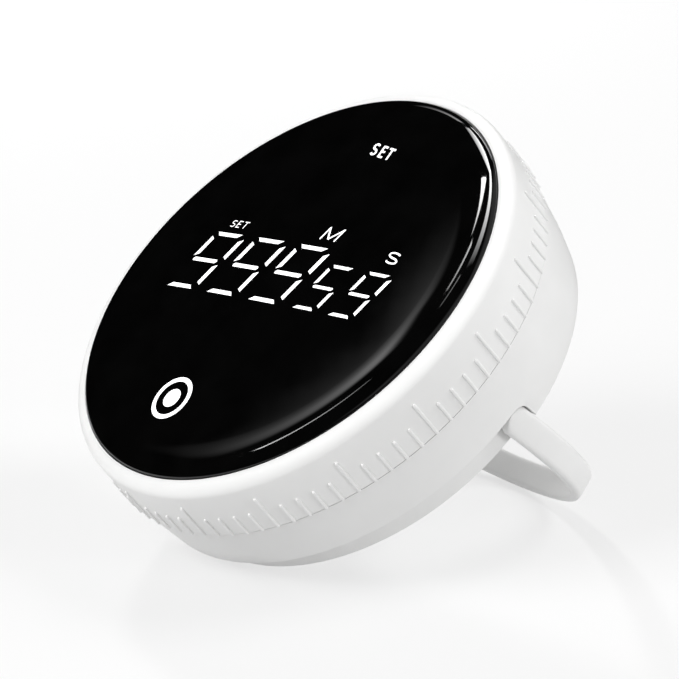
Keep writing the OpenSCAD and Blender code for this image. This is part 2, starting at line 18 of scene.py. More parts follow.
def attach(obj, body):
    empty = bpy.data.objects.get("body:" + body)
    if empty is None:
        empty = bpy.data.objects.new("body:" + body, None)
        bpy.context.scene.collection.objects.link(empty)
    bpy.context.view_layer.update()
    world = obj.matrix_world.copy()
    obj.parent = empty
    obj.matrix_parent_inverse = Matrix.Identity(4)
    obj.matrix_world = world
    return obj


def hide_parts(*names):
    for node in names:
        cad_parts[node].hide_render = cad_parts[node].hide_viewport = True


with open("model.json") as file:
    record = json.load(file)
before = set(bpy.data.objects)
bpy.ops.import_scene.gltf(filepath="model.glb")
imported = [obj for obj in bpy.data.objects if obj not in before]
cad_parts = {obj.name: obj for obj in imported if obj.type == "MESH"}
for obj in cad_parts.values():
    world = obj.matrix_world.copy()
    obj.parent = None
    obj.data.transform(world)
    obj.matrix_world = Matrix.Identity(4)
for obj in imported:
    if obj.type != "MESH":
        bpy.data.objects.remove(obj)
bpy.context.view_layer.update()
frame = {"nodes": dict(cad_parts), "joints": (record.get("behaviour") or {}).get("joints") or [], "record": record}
print("CAD nodes:", len(frame["nodes"]))

# %% [markdown]
# ## The dial's own axes
# The timer leans back, so its pieces are drawn about the dial: x across the face, y up the face and z out of
# it, in millimetres, with z = 0 at the seam under the ring. The joint that turns the dial already holds that
# point and direction. `placed` turns such points into metres in the model's frame.

# %% Axes from the dial's joint
mm_per_m = 1000
joints = {joint["name"]: joint for joint in frame["joints"]}
seam = np.array(joints["dial_turn"]["pos_m"])
out = np.array(joints["dial_turn"]["axis"])
out = out / np.linalg.norm(out)
across = np.array([1.0, 0.0, 0.0])
upward = np.cross(out, across)
dial_axes = np.stack([across, upward, out])


def placed(points):
    """Model place of points on the dial: the seam's middle plus x across, y upward and z outward."""
    return seam + np.asarray(points) @ dial_axes / mm_per_m


print("face leans back by", round(math.degrees(math.acos(out[2])), 1), "degrees")

# %% [markdown]
# ## Camera
# The photograph looks at the timer from its right and a little above, through a long lens. Those angles were
# worked out from the lens rim, the seam and the ribs, so they are set here as numbers: how far round, how far
# up, how far away, and the small slide that centres the frame.

# %% Camera
around = math.radians(54.97)
above = math.radians(16.16)
away_mm = 408.6
slide_right_mm = 2.66
slide_up_mm = -2.11
focal_px = 2700
picture_px = 679
sensor_mm = 36
level_part = math.cos(above)
view_right = np.array([math.cos(around), math.sin(around), 0])
view_back = np.array([math.sin(around) * level_part, -math.cos(around) * level_part, math.sin(above)])
view_up = np.cross(view_back, view_right)
from_seam_mm = away_mm * view_back + slide_right_mm * view_right + slide_up_mm * view_up
camera_place = seam + from_seam_mm / mm_per_m
camera_data = bpy.data.cameras.new("camera")
camera_data.sensor_width = sensor_mm
camera_data.lens = sensor_mm * focal_px / picture_px
camera_data.clip_start = 0.01
camera = bpy.data.objects.new("camera", camera_data)
turned = Matrix(np.stack([view_right, view_up, view_back], axis=1).tolist()).to_4x4()
camera.matrix_world = Matrix.Translation(camera_place.tolist()) @ turned
bpy.context.scene.collection.objects.link(camera)
bpy.context.scene.camera = camera
bpy.context.scene.view_settings.view_transform = "Standard"
print("camera lens", round(camera_data.lens, 1), "mm")

# %% [markdown]
# ## A moulded surface
# Moulded plastic is never quite even: the mould's spark finish leaves a grain of about a quarter of a
# millimetre, and the gloss drifts a little over a few millimetres. Several finishes need both, so they go in
# one node group. It reads Object coordinates, which stay with the piece when it moves.

# %% Node group: moulded grain


def noise(tree, scale, detail):
    """A noise texture on Object coordinates, with its scale in cycles per metre."""
    where = tree.nodes.new("ShaderNodeTexCoord")
    texture = tree.nodes.new("ShaderNodeTexNoise")
    texture.inputs["Scale"].default_value = scale
    texture.inputs["Detail"].default_value = detail
    tree.links.new(where.outputs["Object"], texture.inputs["Vector"])
    return texture


def value_group(name, outputs):
    """An empty node group with the named float outputs."""
    group = bpy.data.node_groups.new(name, "ShaderNodeTree")
    for label in outputs:
        group.interface.new_socket(name=label, in_out="OUTPUT", socket_type="NodeSocketFloat")
    return group, group.nodes.new("NodeGroupOutput")


grain, grain_out = value_group("moulded_grain", ["Grain", "Drift"])
fine = noise(grain, scale=3600, detail=2)
broad = noise(grain, scale=160, detail=3)
grain.links.new(fine.outputs["Fac"], grain_out.inputs["Grain"])
grain.links.new(broad.outputs["Fac"], grain_out.inputs["Drift"])
print("group", grain.name, "puts out", [socket.name for socket in grain_out.inputs if socket.name])

# %% [markdown]
# ## Drawn metal
# Plated steel and brass sheet carry fine lines from rolling. A noise that is stretched along one axis gives
# them. This too is a group, because the contacts, springs, screws and cells all use it.

# %% Node group: rolled lines
along_lines = 300
across_lines = 9000
lines, lines_out = value_group("rolled_lines", ["Lines", "Drift"])
stretch = lines.nodes.new("ShaderNodeMapping")
stretch.inputs["Scale"].default_value = (along_lines, across_lines, across_lines)
thread = noise(lines, scale=1, detail=2)
spot = lines.nodes.new("ShaderNodeTexCoord")
lines.links.new(spot.outputs["Object"], stretch.inputs["Vector"])
lines.links.new(stretch.outputs["Vector"], thread.inputs["Vector"])
patch = noise(lines, scale=220, detail=3)
lines.links.new(thread.outputs["Fac"], lines_out.inputs["Lines"])
lines.links.new(patch.outputs["Fac"], lines_out.inputs["Drift"])
print("group", lines.name, "puts out", [socket.name for socket in lines_out.inputs if socket.name])

# %% [markdown]
# ## What a finish is
# A finish is a colour that drifts slightly, a roughness that drifts with it and a bump from the fine pattern.
# What is even all over, such as metalness, is set on the shader's own socket. One function makes them all, so
# that two finishes differ only in the values they are given.

# %% From a group to a material
finishes = {}
pattern_low = 0.3
pattern_high = 0.7


def spread(tree, source, low, high):
    """A value that runs from low to high where the pattern runs over its middle range."""
    ramp = tree.nodes.new("ShaderNodeMapRange")
    ramp.inputs["From Min"].default_value = pattern_low
    ramp.inputs["From Max"].default_value = pattern_high
    ramp.inputs["To Min"].default_value = low
    ramp.inputs["To Max"].default_value = high
    tree.links.new(source, ramp.inputs["Value"])
    return ramp.outputs["Result"]


def tint(tree, source, one, other):
    """A colour between two, mixed by a pattern."""
    mix = tree.nodes.new("ShaderNodeMix")
    mix.data_type = "RGBA"
    mix.inputs["A"].default_value = (*one, 1)
    mix.inputs["B"].default_value = (*other, 1)
    tree.links.new(spread(tree, source, 0, 1), mix.inputs["Factor"])
    return mix.outputs["Result"]


def finish(slot, group, colours, roughness, bump_mm, metal=0.0):
    """A material: colour and roughness drift between two values each, and the fine pattern is its bump."""
    material = bpy.data.materials.new(slot)
    material.use_nodes = True
    tree = material.node_tree
    shader = tree.nodes["Principled BSDF"]
    pattern = tree.nodes.new("ShaderNodeGroup")
    pattern.node_tree = group
    tree.links.new(tint(tree, pattern.outputs["Drift"], *colours), shader.inputs["Base Color"])
    tree.links.new(spread(tree, pattern.outputs["Drift"], *roughness), shader.inputs["Roughness"])
    dent = tree.nodes.new("ShaderNodeBump")
    dent.inputs["Distance"].default_value = bump_mm / mm_per_m
    tree.links.new(pattern.outputs[0], dent.inputs["Height"])
    tree.links.new(dent.outputs["Normal"], shader.inputs["Normal"])
    shader.inputs["Metallic"].default_value = metal
    finishes[slot] = material
    return material


print("a finish reads its pattern from", pattern_low, "to", pattern_high)

# %% [markdown]
# ## Finishes
# Each slot of the record gets one material: the white case, the black face, and the plastics, boards, cells
# and metals inside. The numbers are two colours, the range of the roughness and the bump in millimetres.

# %% Finishes from the two groups
finish("white_plastic", grain, [(0.86, 0.86, 0.855), (0.88, 0.88, 0.875)], (0.36, 0.44), 0.006)
finish("black_gloss", grain, [(0.001, 0.001, 0.001), (0.002, 0.002, 0.002)], (0.03, 0.05), 0.0)
finish("dark_plastic", grain, [(0.018, 0.018, 0.02), (0.026, 0.026, 0.028)], (0.45, 0.6), 0.012)
finish("grey_plastic", grain, [(0.38, 0.38, 0.39), (0.44, 0.44, 0.45)], (0.45, 0.6), 0.012)
finish("ivory_plastic", grain, [(0.78, 0.75, 0.66), (0.84, 0.81, 0.72)], (0.4, 0.55), 0.01)
finish("lead_jacket", grain, [(0.45, 0.05, 0.04), (0.55, 0.07, 0.05)], (0.4, 0.55), 0.008)
finish("board_green", lines, [(0.012, 0.13, 0.05), (0.02, 0.18, 0.07)], (0.3, 0.45), 0.01)
finish("cell_jacket", lines, [(0.5, 0.5, 0.52), (0.62, 0.62, 0.64)], (0.28, 0.4), 0.004, metal=1.0)
finish("plated_steel", lines, [(0.62, 0.61, 0.59), (0.72, 0.71, 0.69)], (0.25, 0.38), 0.005, metal=1.0)
finish("brass", lines, [(0.68, 0.48, 0.18), (0.78, 0.57, 0.24)], (0.25, 0.38), 0.005, metal=1.0)
print("finishes:", sorted(finishes))

# %% [markdown]
# ## Lit marks
# The digits glow through the black face. The printed words and the start mark beside them glow as well, which is
# painted light, so that they are as white. One glowing finish serves both. The moulded grain keeps the glow from
# being one flat value.

# %% Finish: lit white
lit = finish("lit_white", grain, [(0.8, 0.8, 0.8), (0.85, 0.85, 0.85)], (0.4, 0.5), 0.0)
lit_shader = lit.node_tree.nodes["Principled BSDF"]
lit_pattern = next(item for item in lit.node_tree.nodes if item.type == "GROUP")
glow = tint(lit.node_tree, lit_pattern.outputs["Grain"], (0.97, 0.98, 1), (1, 1, 1))
lit.node_tree.links.new(glow, lit_shader.inputs["Emission Color"])
lit_shader.inputs["Emission Strength"].default_value = 1.0
print("lit marks glow at", lit_shader.inputs["Emission Strength"].default_value)

# %% [markdown]
# ## Surfaces from grids
# Almost every piece here is a profile carried along a path: round an axis for the ring and the face, along a
# half circle for the loop. Both are a grid of points, worked out as whole arrays. `grid_faces` joins the grid
# into quads and `revolved` turns a profile round, as a lathe does.

# %% Grids


def grid_faces(rows, columns, wrap):
    """Quads of a grid, each point joined to its right and upper neighbour; a wrapped grid joins its ends."""
    index = np.arange(rows * columns).reshape(rows, columns)
    if wrap:
        index = np.concatenate([index, index[:, :1]], axis=1)
    quads = np.stack([index[:-1, :-1], index[:-1, 1:], index[1:, 1:], index[1:, :-1]], axis=-1)
    return quads.reshape(-1, 4)


def revolved(profile, steps):
    """A profile of [radius, height] turned about the dial's axis: x = radius cos, y = radius sin."""
    profile = np.asarray(profile, dtype=float)
    turn = np.arange(steps) * 2 * np.pi / steps
    radius, height = profile[:, :1], profile[:, 1:]
    points = np.stack([radius * np.cos(turn), radius * np.sin(turn), height + 0 * turn], axis=-1)
    return points.reshape(-1, 3), grid_faces(len(profile), steps, True)


print("a wrapped grid of 2 by 4 points has", len(grid_faces(2, 4, True)), "quads")

# %% [markdown]
# ## From a grid to a piece
# A grid still has open seams and poles. `new_piece` makes the mesh, merges the points that meet there, turns
# the faces outwards and marks the edges that stay sharp. It does so for every drawn piece, which then rides
# on its body. Flat print has no inside, so its faces are left as drawn.

# %% Make a piece
merge_m = 2e-7


def new_piece(name, shape, body, slot, sharp=40, closed=True):
    """A mesh piece from dial points in mm: merged, facing outwards, smooth up to the sharp angle."""
    points, faces = shape
    mesh = bpy.data.meshes.new(name)
    mesh.from_pydata(placed(points).tolist(), [], faces.tolist())
    work = bmesh.new()
    work.from_mesh(mesh)
    bmesh.ops.remove_doubles(work, verts=work.verts, dist=merge_m)
    if closed:
        bmesh.ops.recalc_face_normals(work, faces=work.faces)
    work.to_mesh(mesh)
    work.free()
    mesh.shade_smooth()
    mesh.set_sharp_from_angle(angle=math.radians(sharp))
    mesh.materials.append(finishes[slot])
    piece = bpy.data.objects.new(name, mesh)
    bpy.context.scene.collection.objects.link(piece)
    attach(piece, body)
    print(name, "has", len(mesh.polygons), "faces")
    return piece


print("points nearer than", merge_m, "m are merged")

# %% [markdown]
# ## Black face
# The face is a shallow dome of black see-through plastic with a rolled edge. A lathe profile is enough: a
# parabola over the middle, then a part of an ellipse that rolls over to the side wall. The roll starts at the
# angle where its slope is the dome's, because a mirror-like surface shows the smallest crease. `face_height`
# is kept, because the print lies on the same dome.

# %% Black face
lens_r = 36.45
roll_start = 31.0
roll_top = 11.9
roll_foot = 10.15
dome_rise = 0.8
roll_angle = math.radians(79.0)
lens_foot = 8.6
recess_r = 34.9
recess_top = 10.1
hollow_r = 30
hollow_top = 10.9


def face_height(radius):
    """Height of the dome: highest in the middle and lower with the square of the radius."""
    return roll_top + dome_rise * (1 - (radius / roll_start) ** 2)


dome_r = np.linspace(0, roll_start, 40)
dome_line = np.stack([dome_r, face_height(dome_r)], axis=-1)
roll = np.linspace(roll_angle, 0, 48)[1:]
roll_w = (lens_r - roll_start) / (1 - math.cos(roll_angle))
roll_h = (roll_top - roll_foot) / math.sin(roll_angle)
roll_line = np.stack([lens_r + roll_w * (np.cos(roll) - 1), roll_foot + roll_h * np.sin(roll)], axis=-1)
wall_line = [[lens_r, lens_foot], [recess_r, lens_foot], [recess_r, recess_top]]
under_line = [[hollow_r, recess_top], [0, hollow_top]]
face_line = np.concatenate([dome_line, roll_line, wall_line, under_line])
lens_skin = new_piece("face_dome", revolved(face_line, 288), "face", "black_gloss", sharp=50)
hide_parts("lens")

# %% [markdown]
# ## Where print lies
# All print lies on the dome, a hair above it, so that the two don't fight for the same place. The row of
# digits also climbs across the face, and the digits lean. So a point of the row is given along it and up from
# its base line, sheared onto the face and then lifted onto the dome.

# %% Places for print
climb = math.radians(7.3)
lean = math.radians(7.4)
row_base = -5.24
print_lift = 0.03


def on_dome(flat):
    """Points of the face plane lifted onto the dome, with the print's own thickness under them."""
    flat = np.asarray(flat, dtype=float)
    height = face_height(np.linalg.norm(flat, axis=-1)) + print_lift
    return np.concatenate([flat, height[..., None]], axis=-1)


def on_row(points):
    """Row points sheared onto the face: along the climb by the first number, up the lean by the second."""
    a, b = np.moveaxis(np.asarray(points, dtype=float), -1, 0)
    x = a * math.cos(climb) + b * math.sin(lean)
    y = row_base + a * math.sin(climb) + b * math.cos(lean)
    return np.stack([x, y], axis=-1)


print("the row starts at", on_row([0, 0]).round(2), "on the face")

# %% [markdown]
# ## Digits
# The display shows five seven-bar digits, three large and two small. A bar is a trapezoid whose outer side is
# longer, so that neighbours meet at a mitre. Only the bars of a nine and a five are needed. Each bar is four
# corners, so all digits are one array of quads.

# %% Digits
full_height = 10.8
large = (full_height, 7.05)
small = (8.2, 5.05)
first_large = -18.25
large_step = 10.15
small_places = (11.36, 19.22)


def digit_bars(height, width, shown):
    """Corners of the shown bars: the outer side is cut back less than the inner one at each end."""
    size = height / full_height
    flat, thick = 0.36 * size, 0.45 * size
    long_w, short_w = width / 2 - 0.5 * size, width / 2 - 1.3 * size
    long_h, short_h = height / 4 - 0.6 * size, height / 4 - 1.1 * size
    blunt_w = long_w - 0.25 * size
    aside = 0.4 * size
    lying = np.array([[-short_w, -flat], [short_w, -flat], [long_w, flat], [-long_w, flat]])
    middle = np.array([[-long_w, 0], [-blunt_w, -flat], [blunt_w, -flat], [long_w, 0]])
    standing = np.array([[thick, -long_h], [thick, long_h], [-thick, short_h], [-thick, -short_h]])
    bars = {
        "top": [lying + [0, height]],
        "foot": [-lying],
        "middle": [middle + [0, height / 2], -middle + [0, height / 2]],
        "right high": [standing + [width / 2 + aside, height * 0.75]],
        "right low": [standing + [width / 2, height * 0.25]],
        "left high": [-standing + [aside - width / 2, height * 0.75]],
    }
    return np.array([corners for name in shown for corners in bars[name]])


nine = ["top", "foot", "middle", "left high", "right high", "right low"]
five = ["top", "foot", "middle", "left high", "right low"]
row = [(first_large + large_step * i, *large, nine) for i in range(3)]
row += [(place, *small, shown) for place, shown in zip(small_places, [five, nine])]
bar_corners = np.concatenate([digit_bars(h, w, shown) + [start, 0] for start, h, w, shown in row])
digit_points = on_dome(on_row(bar_corners)).reshape(-1, 3)
digit_faces = np.arange(len(digit_points)).reshape(-1, 4)
digits = new_piece("lit_digits", (digit_points, digit_faces), "face", "lit_white", closed=False)

# %% [markdown]
# ## Strokes
# Two function words and the two letters over the digits are print. A letter is a set of strokes, and a stroke
# is a strip of constant width about a line. Only the S is curved: two halves of an ellipse that meet in its
# middle, the second one turned half round. A font would be quicker, but these letters are plain enough to
# draw, and then they lean as the print does.

# %% Strokes


def stroke(path, width):
    """A strip about a path: each point moved half the width to both sides of the path's direction."""
    path = np.asarray(path, dtype=float)
    along = np.gradient(path, axis=0)
    along /= np.linalg.norm(along, axis=1, keepdims=True)
    side = np.stack([-along[:, 1], along[:, 0]], axis=-1) * width / 2
    points = np.stack([path - side, path + side]).reshape(-1, 2)
    return on_dome(points), grid_faces(2, len(path), False)


def letter_s(corner, width, height, slant, rise):
    """Middle line of an S: an upper bowl from its right end to the middle, then that turned half round."""
    bowl = np.radians(np.linspace(35, 270, 20))
    upper = np.stack([np.cos(bowl) * width / 2, height / 4 + np.sin(bowl) * height / 4], axis=-1)
    both = np.concatenate([upper, -upper[-2::-1]]) + [width / 2, height / 2]
    x = corner[0] + both[:, 0] + slant * both[:, 1]
    return np.stack([x, corner[1] + both[:, 1] + rise * both[:, 0]], axis=-1)


def letter_lines(strokes, corner, size, slant, rise):
    """Straight strokes on a unit square, stretched to a size, slanted sideways and raised along the word."""
    ends = np.asarray(strokes, dtype=float) * size
    x = corner[0] + ends[..., 0] + slant * ends[..., 1]
    y = corner[1] + ends[..., 1] + rise * ends[..., 0]
    return [np.linspace(start, stop, 6) for start, stop in np.stack([x, y], axis=-1)]


letter_e = [[(0, -0.08), (0, 1.08)], [(0, 1), (1, 1)], [(0, 0.52), (0.9, 0.52)], [(0, 0), (1, 0)]]
letter_t = [[(0, 1), (1, 1)], [(0.5, 1), (0.5, -0.08)]]
letter_m = [[(0, 0), (0, 1.05)], [(0, 1), (0.5, 0.1)], [(0.5, 0.1), (1, 1)], [(1, 1.05), (1, 0)]]
print("strokes of E, T and M:", len(letter_e), len(letter_t), len(letter_m))

# %% [markdown]
# ## Words and letters
# The large word marks the key at the top of the face, the small one the time that is set, and the two letters
# the minutes and seconds. Each letter has its lower left corner, its size, its slant and its rise, and each
# word has its stroke. They are joined into one piece, because they are one print.

# %% Words and letters
big_stroke = 0.38
small_stroke = 0.16
letter_stroke = 0.3
big_slant = (-0.2, -0.03)
small_slant = (0.03, 0.12)


def joined(shapes):
    """Several (points, faces) shapes as one, each one's face numbers raised by the points before it."""
    starts = np.cumsum([0] + [len(points) for points, faces in shapes])[:-1]
    points = np.concatenate([points for points, faces in shapes])
    faces = np.concatenate([faces + start for (_, faces), start in zip(shapes, starts)])
    return points, faces


set_big = [letter_s((-2.05, 24.05), 1.1, 2.0, *big_slant)]
set_big += letter_lines(letter_e, (0.15, 24.0), (0.95, 1.95), *big_slant)
set_big += letter_lines(letter_t, (1.65, 23.95), (1.4, 1.95), *big_slant)
set_small = [letter_s((-18.35, 4.62), 0.85, 1.2, *small_slant)]
set_small += letter_lines(letter_e, (-16.85, 4.8), (0.75, 1.2), *small_slant)
set_small += letter_lines(letter_t, (-15.55, 4.95), (1.1, 1.2), *small_slant)
minutes = letter_lines(letter_m, (3.15, 7.5), (3.2, 2.4), 0.13, 0.11)
seconds = [letter_s((19.0, 7.7), 2.3, 1.85, -0.02, 0.0)]
strokes = [stroke(path, big_stroke) for path in set_big]
strokes += [stroke(path, small_stroke) for path in set_small]
strokes += [stroke(path, letter_stroke) for path in minutes + seconds]
# The printed words glow with the lit finish: painted light.
words = new_piece("face_words", joined(strokes), "face", "lit_white", closed=False)

# %% [markdown]
# ## Start mark
# The start side of the face carries a ring and a dot. Both are grids of radius and angle. The dot's middle
# row is one point, which the merge closes.

# %% Start mark
mark_middle = (-0.2, -24.6)
mark_outer = 3.72
mark_inner = 2.96
dot_r = 1.6


def flat_ring(middle, inner, outer, steps=72, rows=4):
    """A flat ring between two radii about a point of the face."""
    turn = np.arange(steps) * 2 * np.pi / steps
    radius = np.linspace(outer, inner, rows)[:, None]
    points = np.stack([middle[0] + radius * np.cos(turn), middle[1] + radius * np.sin(turn)], axis=-1)
    return on_dome(points).reshape(-1, 3), grid_faces(rows, steps, True)[:, ::-1]


mark_shape = joined([flat_ring(mark_middle, mark_inner, mark_outer), flat_ring(mark_middle, 0, dot_r)])
# The printed start mark glows with the lit finish: painted light.
start_mark = new_piece("start_mark", mark_shape, "face", "lit_white", closed=False)

# %% [markdown]
# ## Dial ring
# The ring is a lathe shape too: a slightly leaning side, a round front edge, a bore and the web that it turns
# on. More steps round than the solid has keep its outline smooth.

# %% Dial ring
dial_r = 39.0
dial_front = 10.2
draft = 0.2
seam_gap = 0.1
bore_r = 36.6
web_r = 33.65
web_low = 1.0
web_top = 2.6
front_round = 1.9
edge_round = 0.05


def arc(middle, radius, start, stop, count):
    """Points of an arc about a middle, from one angle in degrees to another."""
    angle = np.radians(np.linspace(start, stop, count))
    return np.asarray(middle) + radius * np.stack([np.cos(angle), np.sin(angle)], axis=-1)


ring_line = np.concatenate([
    [[bore_r, seam_gap], [dial_r - edge_round, seam_gap]],
    arc((dial_r - edge_round, seam_gap + edge_round), edge_round, -90, 0, 5),
    arc((dial_r - draft - front_round, dial_front - front_round), front_round, 0, 90, 20),
    arc((bore_r + edge_round, dial_front - edge_round), edge_round, 90, 180, 5),
    [[bore_r, web_top], [web_r, web_top], [web_r, web_low], [bore_r, web_low], [bore_r, seam_gap]],
])
ring_skin = new_piece("dial_ring_skin", revolved(ring_line, 360), "dial", "white_plastic", sharp=35)
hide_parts("dial_ring")

# %% [markdown]
# ## Scale ribs
# Ninety raised ribs stand on the ring's side, every fifth one longer. A rib is a rounded bar: a
# superellipse across, carried up the side from a flat foot to a round nose. All ribs are one array, the shape
# of one rib times the angles of ninety.

# %% Scale ribs
rib_count = 90
first_rib = 7
long_rib = 6.4
short_rib = 3.8
nose_length = 0.4
rib_square = 0.7
rib_turn = np.radians(first_rib + 360 / rib_count * np.arange(rib_count))
rib_length = np.where(np.arange(rib_count) % 5 == 0, long_rib, short_rib)


def power(value, exponent):
    """A sine or cosine raised to a power with its sign kept, which squares a circle off."""
    return np.sign(value) * np.abs(value) ** exponent


def ribs(width, proud, sunk):
    """Ribs with a squared-off section, u round it, from a flat foot to a nose that is a quarter ellipse."""
    u = np.linspace(0, 2 * np.pi, 12, endpoint=False)
    nose = np.linspace(0, np.pi / 2, 8)
    slim = np.concatenate([[0, 1], np.sqrt(np.maximum(np.cos(nose), 0))])[:, None]
    run = np.concatenate([[0, 0], np.ones(len(nose))])[:, None]
    tip = np.concatenate([[0, 0], nose_length * np.sin(nose)])[:, None]
    lift = slim * power(np.cos(u), rib_square) * np.where(np.cos(u) > 0, proud, sunk)
    aside = slim * power(np.sin(u), rib_square) * width / 2
    height = seam_gap + run * (rib_length[:, None, None] - nose_length) + tip + 0 * u
    radius = dial_r - draft * height / dial_front + lift
    turn = rib_turn[:, None, None] + aside / dial_r
    points = np.stack([radius * np.cos(turn), radius * np.sin(turn), height], axis=-1)
    one = grid_faces(len(slim), len(u), True)
    starts = slim.size * u.size * np.arange(rib_count)
    return points.reshape(-1, 3), (one[None] + starts[:, None, None]).reshape(-1, 4)


rib_shape = ribs(width=0.5, proud=0.3, sunk=0.15)
rib_skin = new_piece("scale_ribs", rib_shape, "dial", "white_plastic", sharp=60)
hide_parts("dial_ring")

# %% [markdown]
# ## Rear housing and battery door
# The solids already have every hole, ledge and notch of the case. Their triangles are loose, so a merged copy
# is made, which can be shaded smoothly round the case and gets a small bevel on its edges. Drawing the case
# anew would only repeat the CAD work.

# %% Rear housing and battery door
crease = 30
soft_edge_mm = 0.12
copy_merge_m = 1e-6
flat_angle = 0.3


def smooth_copy(node, name, body, slot, sharp, edge_mm):
    """A merged copy of a CAD node's mesh, smooth up to an angle, with its edges rounded by a bevel."""
    mesh = frame["nodes"][node].data.copy()
    mesh.name = name
    work = bmesh.new()
    work.from_mesh(mesh)
    bmesh.ops.remove_doubles(work, verts=work.verts, dist=copy_merge_m)
    bmesh.ops.dissolve_limit(work, angle_limit=math.radians(flat_angle), verts=work.verts, edges=work.edges)
    work.to_mesh(mesh)
    work.free()
    mesh.shade_smooth()
    mesh.set_sharp_from_angle(angle=math.radians(sharp))
    mesh.materials.clear()
    mesh.materials.append(finishes[slot])
    piece = bpy.data.objects.new(name, mesh)
    bpy.context.scene.collection.objects.link(piece)
    bevel = piece.modifiers.new("soft edges", "BEVEL")
    bevel.width = edge_mm / mm_per_m
    bevel.segments = 2
    bevel.limit_method = "ANGLE"
    bevel.angle_limit = math.radians(sharp)
    bevel.use_clamp_overlap = True
    bevel.harden_normals = True
    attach(piece, body)
    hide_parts(node)
    print(name, "has", len(mesh.polygons), "faces")


smooth_copy("rear_housing", "housing_skin", "case", "white_plastic", crease, soft_edge_mm)
smooth_copy("battery_door", "door_skin", "door", "white_plastic", crease, soft_edge_mm)

# %% [markdown]
# ## Stand loop
# The loop is a flat strip bent to a half circle, with round knuckles at its ends. It is drawn folded, as a
# squared-off section carried along the half circle, and then opened about its hinge. At a knuckle the strip's
# width follows an ellipse, so the end closes by itself. The ellipse is a little short, which leaves a gap to
# the case above it.

# %% Stand loop
hinge_y = 1.9
hinge_z = -11.1
loop_mid = 36.05
half_w = 2.3
half_t = 0.75
knuckle = 1.9
crown_rise = 0.3
swing = math.radians(101.2)
stud_r = 1.2
stud_inner = 33.9
stud_outer = 36


def opened(points):
    """Points drawn folded about the hinge, swung open about the cross axis and moved to the hinge."""
    x, y, z = np.moveaxis(points, -1, 0)
    turned_y = hinge_y + y * math.cos(swing) - z * math.sin(swing)
    turned_z = hinge_z + y * math.sin(swing) + z * math.cos(swing)
    return np.stack([x, turned_y, turned_z], axis=-1)


def loop_strip(count):
    """The strip: a knuckle, a straight, a half circle and the same again, with a squared-off section."""
    tip = knuckle * np.sin(np.linspace(np.pi / 2, 0, 14))
    side_y = np.concatenate([tip, [-0.6, -1.2]])
    bend = np.linspace(np.pi, 2 * np.pi, count)
    x = np.concatenate([-loop_mid + 0 * side_y, loop_mid * np.cos(bend), loop_mid + 0 * side_y])
    y = np.concatenate([side_y, loop_mid * np.sin(bend) - hinge_y, side_y[::-1]])
    facing = np.concatenate([np.full(len(side_y), np.pi), bend, np.full(len(side_y), 2 * np.pi)])
    wide = half_w * np.sqrt(np.maximum(1 - (np.maximum(y, 0) / knuckle) ** 2, 0))
    section = np.linspace(0, 2 * np.pi, 32, endpoint=False)
    crown = np.where(np.cos(section) > 0, crown_rise, 0)
    thick = (half_t + crown) * power(np.cos(section), 0.6)
    strip_x = x[:, None] + thick * np.cos(facing)[:, None]
    strip_y = y[:, None] + thick * np.sin(facing)[:, None]
    strip_z = wide[:, None] * power(np.sin(section), 0.35)
    points = np.stack([strip_x, strip_y, strip_z], axis=-1)
    return opened(points.reshape(-1, 3)), grid_faces(len(x), len(section), True)


def stud(side):
    """A hinge pin: a lathe shape about the cross axis, from inside the case to the middle of the strip."""
    profile = np.array([[0, stud_inner], [stud_r, stud_inner], [stud_r, stud_outer], [0, stud_outer]])
    points, faces = revolved(profile, 32)
    return opened(np.stack([side * points[:, 2], points[:, 0], points[:, 1]], axis=-1)), faces


loop_shape = joined([loop_strip(160), stud(-1), stud(1)])
loop_skin = new_piece("loop_skin", loop_shape, "stand", "white_plastic", sharp=50)
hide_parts("stand_loop")

# %% [markdown]
# ## Inner pieces
# The boards, cells, contacts, keys and screws are right as solids. They stay as they are and take the finish
# of their slot.

# %% Finishes for the CAD nodes
for part in frame["record"]["subparts"]:
    node = frame["nodes"][part["node"]]
    for place in node.material_slots:
        place.material = finishes[part["material_slot"]]

# %% [markdown]
# ## World
# The photograph is on white. The world is white to the camera and to mirror-like surfaces, and gives a
# weaker, even light to the rest. So the background is white without more light on the timer.

# %% World
even_light = 0.4
full_white = 1.0
world = bpy.data.worlds.new("studio")
bpy.context.scene.world = world
world.use_nodes = True
sky = world.node_tree.nodes["Background"]


def seen_rays(tree):
    """1 for rays from the camera, a mirror or glass, 0 for the light that falls on surfaces."""
    rays = tree.nodes.new("ShaderNodeLightPath")
    first = tree.nodes.new("ShaderNodeMath")
    first.operation = "MAXIMUM"
    second = tree.nodes.new("ShaderNodeMath")
    second.operation = "MAXIMUM"
    tree.links.new(rays.outputs["Is Camera Ray"], first.inputs[0])
    tree.links.new(rays.outputs["Is Glossy Ray"], first.inputs[1])
    tree.links.new(first.outputs[0], second.inputs[0])
    tree.links.new(rays.outputs["Is Transmission Ray"], second.inputs[1])
    return second.outputs[0]


def ray_level(tree, unseen, seen):
    """A strength with one value for the light on surfaces and another for the rays that are seen."""
    level = tree.nodes.new("ShaderNodeMapRange")
    level.inputs["To Min"].default_value = unseen
    level.inputs["To Max"].default_value = seen
    tree.links.new(seen_rays(tree), level.inputs["Value"])
    return level.outputs["Result"]


sky_level = ray_level(world.node_tree, even_light, full_white)
world.node_tree.links.new(sky_level, sky.inputs["Strength"])
sky.inputs["Color"].default_value = (1, 1, 1, 1)
print("the world lights surfaces at", even_light, "and is seen at", full_white)

# %% [markdown]
# ## Floor
# The timer stands on white paper. The floor adds white of its own for the camera, so that it joins the
# background and only the timer's shadow shows on it. To other surfaces it is a mid grey with a faint even
# glow, which fills the underside a little, as the paper does. A white colour would throw up too much light.

